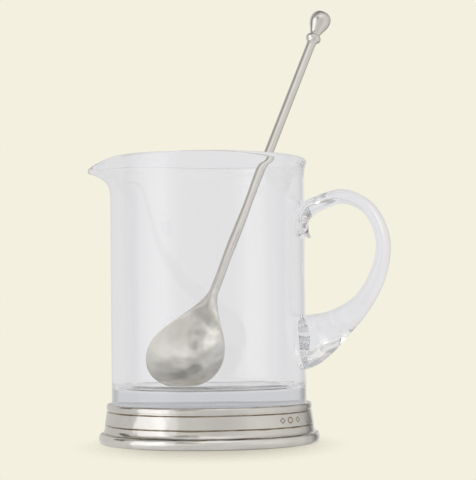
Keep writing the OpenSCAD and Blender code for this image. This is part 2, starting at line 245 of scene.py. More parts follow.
# %% The skins of the wall
def lip_radius(angle):
    """Half the thickness of the bead, which the pulled spout makes thinner."""
    return BEAD_R * (1 - SPOUT_THIN_SHARE * spread(angle, SPOUT_HALF_ANGLE))


def wall_skin(depth, angle, side):
    """A skin of the wall: the middle line moved out or in by half the wall, thicker at the bead."""
    here, _, normal = wall_frame(depth, angle)
    swell = bend(depth, BEAD_STEP, 1) if side > 0 else bend(depth, BEAD_RUN, 2)
    half = WALL_T / 2 + (lip_radius(angle) - WALL_T / 2) * swell
    if side < 0:
        half = half + wall_waves(depth, angle)
    return here + side * half[..., None] * normal


def bead_skin(half_turn, angle):
    """The round top of the rim: half a circle about the middle line's end, from inside to outside."""
    here, down, normal = wall_frame(0 * angle, angle)
    arm = np.cos(half_turn)[..., None] * normal + np.sin(half_turn)[..., None] * down
    return here - lip_radius(angle)[..., None] * arm


print("bead %.1f mm thick at the back, %.1f at the spout" % (2 * lip_radius(180.0), 2 * lip_radius(0.0)))

# %% The grid of the jug
COLUMNS, POLE_R = 288, 6.0  # the fans in the middle of the floor and of the hollow have this radius
jug_turn = np.linspace(0, 360, COLUMNS, endpoint=False)
jug_angle = np.radians(jug_turn)[None, :]
spout_angle = np.abs((jug_turn + 180) % 360 - 180)[None, :]
level = 0 * spout_angle
corner = np.radians(np.linspace(0, 90, 12))[:, None]
floor_r = np.linspace(POLE_R, INSIDE_R - INNER_CORNER, 16)[:-1, None]
wall_depth = (WALL_RUN * np.linspace(0, 1, 56) ** 1.7)[:, None]  # closer together near the rim
lip_turn = np.radians(np.linspace(0, 180, 15))[1:-1, None]
punt_r = np.linspace(BODY_R - CEMENT_W - CEMENT_T, POLE_R, 14)[:, None]
print("jug: %d columns, %d rows on each side of the wall" % (COLUMNS, len(wall_depth)))

# %% Build the jug
inner_r = INSIDE_R - INNER_CORNER * (1 - np.sin(corner))
inner_z = FLOOR_Z + INNER_CORNER * (1 - np.cos(corner))
outer_r = BODY_R - OUTER_CORNER * (1 - np.cos(corner))
outer_z = GLASS_Z + OUTER_CORNER * (1 - np.sin(corner))
section = np.concatenate([
    np.stack([floor_r + level, FLOOR_Z - floor_sag(floor_r, jug_angle)], axis=-1),
    np.stack([inner_r + level, inner_z + level], axis=-1),
    wall_skin(wall_depth + level, spout_angle + 0 * wall_depth, -1)[::-1][1:],
    bead_skin(lip_turn + level, spout_angle + 0 * lip_turn),
    wall_skin(wall_depth + level, spout_angle + 0 * wall_depth, 1),
    np.stack([outer_r + level, outer_z + level], axis=-1),
    np.stack([punt_r + level, GLASS_Z + punt_height(punt_r / punt_r[0], jug_angle)], axis=-1),
])
section_r, section_z, around = section[..., 0], section[..., 1], np.pi - jug_angle
jug_rings = np.stack([section_r * np.cos(around), section_r * np.sin(around), section_z], axis=-1)
jug = make_piece("glass-jug", jug_rings, first=[0, 0, FLOOR_Z], last=[0, 0, GLASS_Z + PUNT_H])

# %% [markdown]
# ## The applied handle
#
# The handle is a gather of hot glass: it is stuck on low with a wide root, pulled out,
# bent over and pressed on near the top, where a short tail is cut off and curls down.
# A table of stations along it gives its place, thickness and width, as the CAD source
# has them. A smooth curve runs through the stations, and an oval is carried along it.

# %% Sizes of the handle
HANDLE_REACH, HANDLE_H, HANDLE_Z, STRAP_T, STRAP_W = 49.0, 100.0, 41.0, 8.0, 15.0
HOT_SINK = 0.9  # the hot glass sinks this far into the wall
EGG_SHARE = 0.4  # the oval is narrower on its outer side, the more so where it is thick
# Each station: its place out from the wall, height, thickness and width, as shares.
STRAP_SHARES = np.array([
    [0.063, 0.734, 0.22, 0.80], [0.024, 0.763, 0.42, 1.15], [0.004, 0.804, 0.53, 1.40],
    [0.004, 0.846, 0.82, 1.65], [0.057, 0.893, 1.10, 1.75], [0.163, 0.921, 1.07, 1.45],
    [0.296, 0.946, 1.04, 1.20], [0.422, 0.961, 1.02, 1.07], [0.720, 0.905, 0.96, 1.00],
    [0.908, 0.720, 1.00, 1.00], [0.847, 0.520, 1.17, 1.04], [0.650, 0.356, 1.45, 1.16],
    [0.380, 0.245, 2.25, 1.40], [0.198, 0.192, 3.08, 1.70], [0.022, 0.155, 3.72, 2.05],
    [-0.102, 0.133, 3.70, 2.00],
])


def smooth_curve(rows, steps):
    """A curve through all rows: in each span a cubic that starts and ends along the slopes there.

    The slope at a row is the mean of the slopes to its two neighbours, each weighted by
    the length of the other span.
    """
    span = np.linalg.norm(np.diff(rows, axis=0), axis=1)[:, None]
    chord = np.diff(rows, axis=0) / span
    inner = (chord[1:] * span[:-1] + chord[:-1] * span[1:]) / (span[1:] + span[:-1])
    slopes = np.vstack([chord[:1], inner, chord[-1:]])
    t, reach = np.linspace(0, 1, steps, endpoint=False)[None, :, None], span[:, None]
    points = (2 * t**3 - 3 * t**2 + 1) * rows[:-1, None] + (3 * t**2 - 2 * t**3) * rows[1:, None]
    points = points + (t**3 - 2 * t**2 + t) * reach * slopes[:-1, None]
    points = points + (t**3 - t**2) * reach * slopes[1:, None]
    return np.vstack([points.reshape(-1, rows.shape[1]), rows[-1:]])


print("handle:", len(STRAP_SHARES), "stations")

# %% Build the handle
strap_sizes = np.array([HANDLE_REACH, HANDLE_H, STRAP_T / 2, STRAP_W / 2])
stations = smooth_curve(np.array([BODY_R, HANDLE_Z, 0, 0]) + STRAP_SHARES * strap_sizes, 10)
path_r, path_z, half_t, half_w = stations.T[..., None]
ahead = np.vstack([stations[1:], stations[-1:]])[:, :2] - np.vstack([stations[:1], stations[:-1]])[:, :2]
outward = np.stack([-ahead[:, 1], ahead[:, 0]], axis=1) / np.linalg.norm(ahead, axis=1)[:, None]
oval = np.radians(np.linspace(0, 360, 64, endpoint=False))[None, :]
handle_x = path_r + half_t * np.cos(oval) * outward[:, :1]
handle_z = path_z + half_t * np.cos(oval) * outward[:, 1:]
handle_y = half_w * np.sin(oval) * (1 - EGG_SHARE * np.cos(oval) * half_t / (2 * STRAP_T))
sunk_r = BODY_R - HOT_SINK
handle_x = np.maximum(handle_x, np.sqrt(np.maximum(sunk_r**2 - handle_y**2, 0)))
handle_rings = np.stack([handle_x, handle_y, handle_z], axis=-1)
tail, root = handle_rings[0].mean(axis=0), [sunk_r, 0, handle_rings[-1, :, 2].mean()]
handle = make_piece("glass-handle", handle_rings, first=tail, last=root)

# %% [markdown]
# The two gathers melt into one piece of glass, with no surface left between them. A
# Boolean union of the two skins gives the same: light then passes from the wall into the
# handle without bending. Only the crease round the joint stays sharp.

# %% Fuse the handle to the jug
fuse = jug.modifiers.new("fuse", "BOOLEAN")
fuse.operation, fuse.object, fuse.solver = "UNION", handle, "MANIFOLD"
fused = bpy.data.meshes.new_from_object(jug.evaluated_get(bpy.context.evaluated_depsgraph_get()))
jug.modifiers.clear()
jug.data = fused
bpy.data.objects.remove(handle)
fused.set_sharp_from_angle(angle=math.radians(50))
print("fused glass:", len(fused.vertices), "points")
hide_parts("glass_vessel", "glass_handle")
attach(jug, "pitcher")

# %% [markdown]
# ## The pewter base
#
# The base is cast in rings, turned on a lathe and soldered together. A turned profile
# is made once round. The real one isn't perfect: the seam over the foot wanders,
# and the polish has made the edges soft. The profile is therefore made with rounded
# groove edges, and every ring gets slow waves of a few hundredths of a millimetre,
# which make the highlights wander as they do on the real metal.

# %% Sizes of the base
COLLAR_T, LEDGE_W, LEDGE_T = 2.5, 6.5, 3.0
FOOT_LAND, SKIRT_T, SPIGOT_W, SPIGOT_H = 7.0, 9.0, 5.0, 1.0
PLATE_T, PLATE_UP, PLATE_SHELF = 1.5, 1.5, 2.5
GROOVE_W, GROOVE_D, SOLDER_GAP = 0.9, 0.4, 0.05
COLLAR_BORE = BODY_R + CEMENT_T
BAND_TOP_R = COLLAR_BORE + COLLAR_T
BAND_FOOT_R = BAND_TOP_R + BAND_LEAN
COVE_FOOT_R = BAND_FOOT_R + COVE_IN
PLATE_R, SKIRT_R = COVE_FOOT_R - FOOT_LAND, COVE_FOOT_R - SKIRT_T
SPIGOT_R, LEDGE_R, LEDGE_Z = SKIRT_R + SPIGOT_W, COLLAR_BORE - LEDGE_W, GLASS_Z - CEMENT_T
HALF_GROOVE = GROOVE_W / 2
print("foot radius %.1f, band radius %.1f to %.1f" % (COVE_FOOT_R + FOOT_ROLL, BAND_FOOT_R, BAND_TOP_R))


# %% Parts of a profile
def arc(middle, half_w, half_h, start, end, steps):
    """Points on part of an ellipse, from one angle to another in degrees."""
    a = np.radians(np.linspace(start, end, steps))
    return np.stack([middle[0] + half_w * np.cos(a), middle[1] + half_h * np.sin(a)], axis=1)


def groove(r_below, r_above, z):
    """A turned groove with a round bottom: its depth is a raised cosine of the height."""
    t = np.linspace(-1, 1, 13)
    wall = np.interp(t, [-1, 1], [r_below, r_above])
    return np.stack([wall - GROOVE_D * (1 + np.cos(np.pi * t)) / 2, z + t * HALF_GROOVE], axis=1)


def straight(*stops):
    """Even points on lines. Each stop is a radius, a height and the number of points to the next."""
    lines = []
    for (r, z, steps), (next_r, next_z, _) in zip(stops[:-1], stops[1:]):
        along = np.linspace(0, 1, steps, endpoint=False)[:, None]
        lines.append(np.array([r, z]) + np.array([next_r - r, next_z - z]) * along)
    return np.vstack(lines)


print("a groove has", len(groove(BAND_TOP_R, BAND_TOP_R, CROWN_Z)), "points")

# %% [markdown]
# The band carries three small punch marks, pressed in after the turning: a ring between
# two lozenges. Each is drawn by a distance from its middle, and the same depth is kept as
# an attribute, so that the finish can darken the bottom of the marks.

# %% Uneven turning and the punched marks
TURN_WAVE = 0.09  # how far a ring is off at most
OUTER_SKIN, SKIN_EDGE = 1.5, 0.5  # the wear is on the outside: it starts this far in, and grows over the edge
PUNCHES = ((-35.3, 1.0), (-29.2, 2.0), (-22.3, 1.0))  # angle, and a power: 1 for a lozenge, 2 for a ring
PUNCH_W, PUNCH_H, PUNCH_DEPTH, PUNCH_UP_SHARE = 2.3, 1.8, 0.3, 0.52
PUNCH_LINE_AT, PUNCH_LINE_W, PUNCH_REACH = 0.8, 0.2, 2.0  # as shares of the punch's size


def hand_waves(around, height):
    """How far a hand-finished ring lies inside its true radius: slow sines of the angle."""
    waves = np.sin(3 * around + 0.4) + 0.6 * np.sin(7 * around + height / 3)
    waves = waves + 0.5 * np.sin(13 * around - height / 2 + 2)
    return TURN_WAVE * (3 + waves) / 5.1  # the bracket is never more than 5.1


def punch_depth(around, height):
    """The punch marks on the band, as depths in millimetres.

    A mark's distance is ((x / w) ^ p + (y / h) ^ p) ^ (1 / p), which is 1 at the punch's
    size. The line is pressed in as a bell curve of that distance.
    """
    depth = np.zeros(np.broadcast(around, height).shape)
    for middle, power in PUNCHES:
        across = BAND_FOOT_R * (around - math.radians(middle))
        up = height - (BAND_Z + BAND_H * PUNCH_UP_SHARE)
        away = (np.abs(across / PUNCH_W) ** power + np.abs(up / PUNCH_H) ** power) ** (1 / power)
        line = np.exp(-(((away - PUNCH_LINE_AT) / PUNCH_LINE_W) ** 2)) * (away < PUNCH_REACH)
        depth = np.maximum(depth, PUNCH_DEPTH * line)
    return depth


def hand_turned(name, profile, columns):
    """Carries a closed profile round the axis, and presses the waves and the marks into its outside."""
    around, radius, height = columns[None, :], profile[:, :1], profile[:, 1:]
    outer = np.clip((radius - (BAND_TOP_R - OUTER_SKIN)) / SKIN_EDGE, 0, 1)
    on_band = (height > BAND_Z + GROOVE_W) & (height < CROWN_Z - GROOVE_W) & (radius > COLLAR_BORE + 1)
    marks = punch_depth(around, height) * on_band
    worn = radius - outer * (hand_waves(around, height) + marks)
    rings = np.stack([worn * np.cos(around), worn * np.sin(around), height + 0 * around], axis=-1)
    piece = make_piece(name, rings)
    tarnish = piece.data.attributes.new("tarnish", "FLOAT", "POINT")
    tarnish.data.foreach_set("value", (marks / PUNCH_DEPTH).ravel())
    return piece


print("rings are off by at most %.2f mm, marks are %.1f mm deep" % (TURN_WAVE, PUNCH_DEPTH))

# %% The profiles of the band and the foot
SEAT_Z, SOLDER_Z = FOOT_H - SPIGOT_H + SOLDER_GAP, FOOT_H + SOLDER_GAP
SPIGOT_BORE, FOOT_SEAT = SPIGOT_R + SOLDER_GAP, FOOT_H - SPIGOT_H
FOOT_BORE, SHELF_R, SHELF_Z = PLATE_R + SOLDER_GAP, PLATE_R - PLATE_SHELF, PLATE_UP + PLATE_T + SOLDER_GAP
COVE_LAP, CROWN_LIP_SHARE = 0.2, 0.35  # how far in the cove starts, and the crown over its groove
cove_middle, cove_rise = (COVE_FOOT_R, BAND_Z - HALF_GROOVE), BAND_Z - SOLDER_Z - HALF_GROOVE
crown_middle = (BAND_TOP_R - CROWN_PROUD, (CROWN_Z + BASE_H) / 2 + HALF_GROOVE / 2)
crown_rise = (CROWN_H - HALF_GROOVE) / 2
band_profile = np.concatenate([
    straight((SKIRT_R, SEAT_Z, 2), (SPIGOT_R, SEAT_Z, 2), (SPIGOT_R, SOLDER_Z, 3),
             (COVE_FOOT_R - COVE_LAP, SOLDER_Z, 0)),
    arc(cove_middle, COVE_IN, cove_rise, -93, -180, 22)[:-1],
    groove(BAND_FOOT_R, BAND_FOOT_R, BAND_Z),
    straight((BAND_FOOT_R, BAND_Z + HALF_GROOVE, 44), (BAND_TOP_R, CROWN_Z - HALF_GROOVE, 0))[1:],
    groove(BAND_TOP_R, BAND_TOP_R - CROWN_PROUD * CROWN_LIP_SHARE, CROWN_Z),
    arc(crown_middle, CROWN_PROUD, crown_rise, -50, 90, 22),
    straight((BAND_TOP_R - CROWN_PROUD, BASE_H, 3), (COLLAR_BORE, BASE_H, 6), (COLLAR_BORE, LEDGE_Z, 3),
             (LEDGE_R, LEDGE_Z, 2), (LEDGE_R, LEDGE_Z - LEDGE_T, 2), (SKIRT_R, LEDGE_Z - LEDGE_T, 4),
             (SKIRT_R, SEAT_Z, 0))[1:],
])
foot_profile = np.concatenate([
    straight((FOOT_BORE, 0, 4), (COVE_FOOT_R, 0, 0)),
    arc((COVE_FOOT_R, FOOT_H / 2), FOOT_ROLL, FOOT_H / 2, -90, 90, 32),
    straight((COVE_FOOT_R, FOOT_H, 3), (SPIGOT_BORE, FOOT_H, 2), (SPIGOT_BORE, FOOT_SEAT, 3),
             (SHELF_R, FOOT_SEAT, 2), (SHELF_R, SHELF_Z, 2), (FOOT_BORE, SHELF_Z, 3), (FOOT_BORE, 0, 0))[1:],
])
print("points on the profiles:", len(band_profile), "and", len(foot_profile))

# %% Build the band and the foot
even = np.linspace(-np.pi, np.pi, 320, endpoint=False)
close = np.radians(np.linspace(-41, -19, 150))  # the columns lie closer together at the punch marks
band_columns = np.sort(np.concatenate([even[(even < close[0]) | (even > close[-1])], close]))
band = hand_turned("pewter-band", band_profile, band_columns)
foot = hand_turned("pewter-foot", foot_profile, even)
for piece, node in ((band, "base_band"), (foot, "foot_ring")):
    piece.data.set_sharp_from_angle(angle=math.radians(40))
    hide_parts(node)
    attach(piece, "pitcher")

# %% [markdown]
# ## The mixing spoon
#
# The spoon has a round bowl, hammered and filed to a drawn neck, a long rod, a turned
# bead and a pear-shaped knob. It is made upright first, with its tip at the origin, and
# then leant into the jug as the CAD source does it: the rod lies on the rim and the
# lowest point of the bowl just clears the glass floor.

# %% Sizes of the spoon
BOWL_W, BOWL_L, BOWL_DEPTH, BOWL_T, BOWL_FORWARD, BOWL_ROUND = 44.0, 66.0, 8.5, 1.4, 14.0, 0.87
FORWARD_POWER, EDGE_POWER = 1.6, 8  # how the tip comes forward, and how blunt the bowl's edge is
SHAFT_L, SHAFT_D, SHAFT_TOP_D = 169.0, 5.5, 5.4
KNOB_BEAD_D, KNOB_BEAD_L, FINIAL_D, FINIAL_L = 9.2, 7.0, 12.6, 16.4
TENON_D, TENON_L, TENON_GAP = 3.0, 6.0, 0.05
LEAN, LEAN_DIR, RIM_DIR, ROLL, LIE_GAP = 27.4, 51.0, 60.2, -52.5, 0.3
bead_from = BOWL_L + SHAFT_L
knob_from = bead_from + KNOB_BEAD_L
pin_top = knob_from + TENON_L
print("spoon %.1f mm long, its pin ends at %.1f" % (knob_from + FINIAL_L, pin_top))


# %% The bowl, upright
def bowl_rings(rows, columns):
    """Rings up the bowl: ovals, bent into a hollow by the square of the cosine round each.

    Below its widest place the outline is half a circle. Above it a raised cosine draws
    it into the neck. The tip stands forward of the rod.
    """
    radius, neck = BOWL_W / 2, SHAFT_D / 2
    low_part = radius * (1 - np.cos(np.linspace(0, np.pi / 2, rows)[1:]))
    high_part = radius + (BOWL_L - radius) * np.linspace(0, 1, rows + 4)[1:]
    w = np.concatenate([low_part, high_part])[:, None]
    low = w < radius
    from_widest = (radius - w) / radius
    drawn = (1 + np.cos(np.pi * np.clip((w - radius) / (BOWL_L - radius), 0, 1))) / 2
    full = np.where(low, np.sqrt(np.clip(1 - from_widest**2, 0, 1)), drawn**BOWL_ROUND)
    half_wide = np.where(low, radius * full, neck + (radius - neck) * full)
    edge = BOWL_T / 2 * np.sqrt(np.clip(1 - from_widest**EDGE_POWER, 0, 1))
    half_thick = np.where(low, edge, BOWL_T / 2 + (neck - BOWL_T / 2) * (1 - full) ** 3)
    front = BOWL_FORWARD * (1 - w / BOWL_L) ** FORWARD_POWER
    a = np.linspace(0, 2 * np.pi, columns, endpoint=False)[None, :]
    hollow = BOWL_DEPTH * full**2 * np.cos(a) ** 2
    return np.stack([half_wide * np.sin(a), hollow - half_thick * np.cos(a) - front, w + 0 * a], axis=-1)


bowl_points = bowl_rings(40, 96)
print("bowl: %d rings of %d points" % bowl_points.shape[:2])


# %% Find where the spoon stands
def lean_into_jug(points, at=(0.0, 0.0, 0.0)):
    """Turns points about the spoon's own rod, then leans them, then moves them."""
    own_roll, lean, direction = (math.radians(v) for v in (ROLL, LEAN, LEAN_DIR))
    leant = Matrix.Rotation(direction, 3, "Z") @ Matrix.Rotation(lean, 3, "Y")
    matrix = np.array(leant @ Matrix.Rotation(own_roll, 3, "Z"))
    return np.asarray(points, dtype=float) @ matrix.T + np.array(at)


cos_lean, rim_way = math.cos(math.radians(LEAN)), math.radians(RIM_DIR)
rim_rest_r = MID_R + RIM_FLARE - (BEAD_R + SHAFT_D / 2 + LIE_GAP) / cos_lean
rim_rest = np.array([rim_rest_r * math.cos(rim_way), rim_rest_r * math.sin(rim_way), RIM_Z - BEAD_R])
rod_axis = lean_into_jug([0.0, 0.0, 1.0])
lowest = lean_into_jug(bowl_points)[..., 2].min()
spoon_at = rim_rest - (rim_rest[2] + lowest - FLOOR_Z - LIE_GAP) / cos_lean * rod_axis
print("spoon tip at", spoon_at.round(2), "leaning along", rod_axis.round(3))


# %% Build the bowl and the rod
def rod_rings(rows, columns=64):
    """Rings round the spoon's axis from a profile of (radius, distance from the tip)."""
    a = np.linspace(0, 2 * np.pi, columns, endpoint=False)[None, :]
    rows = np.asarray(rows, dtype=float)
    return np.stack([rows[:, :1] * np.cos(a), rows[:, :1] * np.sin(a), rows[:, 1:] + 0 * a], axis=-1)


def place_on_spoon(name, rings, node, ends=None):
    """Leans a piece into the jug and ties it to the spoon. Ends are the middles of its two fans."""
    first, last = (None, None) if ends is None else (lean_into_jug(end, at=spoon_at) for end in ends)
    piece = make_piece(name, lean_into_jug(rings, at=spoon_at), first=first, last=last)
    piece.data.set_sharp_from_angle(angle=math.radians(45))
    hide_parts(node)
    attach(piece, "spoon")
    return piece


bowl_ends = ([0.0, -BOWL_FORWARD, 0.0], [0.0, 0.0, BOWL_L])
spoon_bowl = place_on_spoon("spoon-bowl", bowl_points, "spoon_bowl", bowl_ends)
rod_up = np.linspace(0, 1, 40)
rod_taper = np.stack([SHAFT_D / 2 + (SHAFT_TOP_D - SHAFT_D) / 2 * rod_up, BOWL_L + SHAFT_L * rod_up], axis=1)
rod_profile = np.vstack([rod_taper, [[TENON_D / 2, bead_from], [TENON_D / 2, pin_top]]])
rod_ends = ([0.0, 0.0, BOWL_L], [0.0, 0.0, pin_top])
spoon_rod = place_on_spoon("spoon-rod", rod_rings(rod_profile), "spoon_shaft", rod_ends)

# %% [markdown]
# The bead and the knob are turned from the same kind of table, as shares of a greatest
# radius and a length. The bead has a hole right through for the rod's pin, so its
# section is a closed loop. The knob's hole is blind.

# %% Build the bead and the knob
BEAD_SHARES = np.array([
    [0.60, 0], [0.62, 0.10], [0.60, 0.20], [0.68, 0.32], [0.88, 0.45],
    [1, 0.62], [0.98, 0.76], [0.86, 0.90], [0.70, 0.97], [0.66, 1],
])
PEAR_SHARES = np.array([
    [0.48, 0], [0.50, 0.06], [0.60, 0.17], [0.75, 0.31], [0.90, 0.45], [0.985, 0.57],
    [1, 0.66], [0.95, 0.79], [0.80, 0.89], [0.55, 0.96], [0.28, 0.99], [0, 1],
])
bore = TENON_D / 2 + TENON_GAP
bead_line = smooth_curve(BEAD_SHARES, 6) * [KNOB_BEAD_D / 2, KNOB_BEAD_L] + [0, bead_from]
bead_loop = np.vstack([[[bore, bead_from]], bead_line, [[bore, knob_from]]])
knob_bead = place_on_spoon("spoon-bead", rod_rings(bead_loop), "spoon_collar")

knob_line = smooth_curve(PEAR_SHARES, 6)[:-1] * [FINIAL_D / 2, FINIAL_L] + [0, knob_from]
hole_end = pin_top + TENON_GAP
knob_rows = np.vstack([[[bore / 2, hole_end], [bore, hole_end], [bore, knob_from]], knob_line])
knob_ends = ([0.0, 0.0, hole_end], [0.0, 0.0, knob_from + FINIAL_L])
knob = place_on_spoon("spoon-knob", rod_rings(knob_rows), "spoon_finial", knob_ends)

# %% [markdown]
# ## Finishes
#
# Every material is built from nodes. One helper turns a colour from the usual hex
# notation to linear light, and one adds a node with its settings and links. Numbers
# that are the same all over a surface are set on the shader's own socket. A pattern's
# scale counts its waves in a metre, so it is 1000 over the pattern's size in millimetres,
# which a third helper works out and rounds to a whole number.


# %% Helpers for materials
def linear(hex_colour):
    """An sRGB hex colour as linear light: the dark end over 12.92, the rest to the power 2.4."""
    srgb = np.array([int(hex_colour[i : i + 2], 16) for i in (1, 3, 5)]) / 255
    light = np.where(srgb <= 0.04045, srgb / 12.92, ((srgb + 0.055) / 1.055) ** 2.4)
    return (*light.tolist(), 1.0)


def per_metre(size):
    """How many of a size in millimetres go into a metre, rounded: 1000 over the size."""
    return round(1000 / size)


def add(tree, kind, inputs=(), **settings):
    """Adds a node. Settings name its attributes. Inputs give a socket a value, or a socket to link to."""
    node = tree.nodes.new(kind)
    for key, value in settings.items():
        setattr(node, key, value)
    for name, value in dict(inputs).items():
        if isinstance(value, bpy.types.NodeSocket):
            tree.links.new(value, node.inputs[name])
        else:
            node.inputs[name].default_value = value
    return node


def new_material(name, **values):
    """A material with its Principled shader and its output. Values set the shader's sockets, by name."""
    material = bpy.data.materials.new(name)
    material.use_nodes = True
    tree = material.node_tree
    tree.nodes.clear()
    sockets = {key.replace("_", " "): value for key, value in values.items()}
    shader = add(tree, "ShaderNodeBsdfPrincipled", sockets)
    output = add(tree, "ShaderNodeOutputMaterial", {"Surface": shader.outputs[0]})
    return material, tree, shader, output


def dress(obj, *materials):
    """Puts materials into an object's slots in place of what it had."""
    obj.data.materials.clear()
    for material in materials:
        obj.data.materials.append(material)


print("#808080 is %.3f in linear light" % linear("#808080")[0])

# %% [markdown]
# ### Clear glass
#
# Soda-lime glass is almost colourless and bends light with an index of about 1.5. It
# takes up a little of the light that passes, so thick parts are faintly grey-blue. The
# solid base, which light crosses many times, is also given a grey in its colour: a
# painted shade for the light it loses there. Blown glass is never quite flat, so a slow
# bump about 20 mm across makes reflections and what is seen through it swim a little.

# %% Make the glass
SWIM_W, SWIM_DEPTH, SWIM_STRENGTH = 22.2, 0.6, 0.25  # the slow waves that blowing leaves
# The painted shade of the solid base comes in between these heights.
BASE_SHADE_FROM, BASE_SHADE_FULL = FLOOR_Z + 0.6, FLOOR_Z - 1.4  # heights between which the base's tint comes in
glass, tree, shader, output = new_material(
    "clear-blown-glass", Transmission_Weight=1.0, Roughness=0.0, IOR=1.5)
where = add(tree, "ShaderNodeTexCoord").outputs["Object"]
swim = add(tree, "ShaderNodeTexNoise", {"Vector": where, "Scale": per_metre(SWIM_W), "Detail": 1.0})
swim_bump = add(tree, "ShaderNodeBump", {
    "Height": swim.outputs["Fac"], "Strength": SWIM_STRENGTH, "Distance": SWIM_DEPTH / 1000,
})
tree.links.new(swim_bump.outputs[0], shader.inputs["Normal"])
height = add(tree, "ShaderNodeSeparateXYZ", {"Vector": where}).outputs["Z"]
base_shade = add(tree, "ShaderNodeMapRange", {
    "Value": height, "From Min": BASE_SHADE_FROM / 1000, "From Max": BASE_SHADE_FULL / 1000,
}, interpolation_type="SMOOTHSTEP")
# Painted shade: the glass's colour turns grey towards the solid base.
shaded_tones = {"Factor": base_shade.outputs[0], 6: linear("#FFFFFF"), 7: linear("#E6E7E9")}
tree.links.new(add(tree, "ShaderNodeMix", shaded_tones, data_type="RGBA").outputs[2], shader.inputs["Base Color"])
depth_tint = add(tree, "ShaderNodeVolumeAbsorption", {"Color": linear("#BCC3CD"), "Density": 0.25})
tree.links.new(depth_tint.outputs[0], output.inputs["Volume"])
dress(jug, glass)
print("glass:", glass.name)

# %% [markdown]
# ### Pewter
#
# Pewter is mostly tin: a warm grey metal, softer in its shine than silver. The flat
# parts are brushed along the turning to a satin, and the round parts are polished. The
# bowl of the spoon is beaten to shape, which leaves shallow dents. Handling and cleaning
# leave a brown tarnish in the turned grooves. The same brown is painted as a shade line
# where the metal meets the glass. The lines are found by their height, with a little
# noise so that the line comes and goes.

# %% Sizes of the pewter's patterns
# In millimetres. Clouds are where the polish varies, dents are from the hammer. The real
# brushing is too fine for the picture, so its grain is drawn as coarse as it needs to show.
CLOUD_W, DENT_W, GRAIN_W = 11.1, 8.33, 2.38
DENT_DEPTH, GRAIN_DEPTH, GRAIN_STRENGTH = 1.1, 0.2, 0.12
HAZE_LOW, HAZE_HIGH = 0.8, 1.25  # the clouds' roughness, as shares of the finish's own
STRAY_W, STRAY, PATCH_W = 18.2, 0.4, 6.25  # the dark line wanders by STRAY and wears off in patches
FULL_SHARE, WORN_LEAST = 0.3, 0.45  # full dark within this share of its reach, and what wear leaves
# The tarnish's brown, also used for the painted shade line where the metal meets the glass.
TARNISH_AND_SHADE = "#90816B"
print("pewter patterns from %.1f to %.1f mm" % (GRAIN_W, STRAY_W))


# %% Where the tarnish sits
def tarnish_and_shade_amount(tree, where, dark_lines):
    """How dark the metal is: 1 on a dark line, falling to 0 at its reach, times a patchy wear.

    A dark line is tarnish, or painted shade where the metal meets the glass. The depth of
    the punch marks is taken where it is more.
    """
    height = add(tree, "ShaderNodeSeparateXYZ", {"Vector": where}).outputs["Z"]
    stray = add(tree, "ShaderNodeTexNoise", {"Vector": where, "Scale": per_metre(STRAY_W), "Detail": 2.0})
    wander = add(tree, "ShaderNodeMapRange", {
        "Value": stray.outputs["Fac"], "From Min": 0.25, "From Max": 0.75,
        "To Min": -STRAY / 1000, "To Max": STRAY / 1000,
    })
    level = add(tree, "ShaderNodeMath", {0: height, 1: wander.outputs[0]}, operation="ADD")
    dark = 0.0
    for line_z, reach in dark_lines:
        away = add(tree, "ShaderNodeMath", {0: level.outputs[0], 1: line_z / 1000}, operation="SUBTRACT")
        size = add(tree, "ShaderNodeMath", {0: away.outputs[0]}, operation="ABSOLUTE")
        near = add(tree, "ShaderNodeMapRange", {
            "Value": size.outputs[0], "From Min": reach / 1000, "From Max": reach * FULL_SHARE / 1000,
        }, interpolation_type="SMOOTHSTEP")
        dark = add(tree, "ShaderNodeMath", {0: dark, 1: near.outputs[0]}, operation="MAXIMUM").outputs[0]
    patchy = add(tree, "ShaderNodeTexNoise", {"Vector": where, "Scale": per_metre(PATCH_W), "Detail": 3.0})
    worn = add(tree, "ShaderNodeMapRange", {
        "Value": patchy.outputs["Fac"], "From Min": 0.25, "From Max": 0.6,
        "To Min": WORN_LEAST, "To Max": 1.0,
    })
    in_dark_lines = add(tree, "ShaderNodeMath", {0: dark, 1: worn.outputs[0]}, operation="MULTIPLY")
    in_marks = add(tree, "ShaderNodeAttribute", attribute_name="tarnish")
    both = {0: in_dark_lines.outputs[0], 1: in_marks.outputs["Fac"]}
    return add(tree, "ShaderNodeMath", both, operation="MAXIMUM").outputs[0]


# A row for each dark line: its height, and how far it reaches. On the band the last row
# is painted shade where the metal meets the glass; the others are tarnish and the seam over the foot.
BAND_LINES = ((BAND_Z, 0.55), (CROWN_Z, 0.5), (FOOT_H + 0.2, 0.42), (BASE_H + 0.2, 0.8))
FOOT_LINES = ((FOOT_H, 0.28),)
print("dark lines on the band at", [round(z, 1) for z, _ in BAND_LINES])


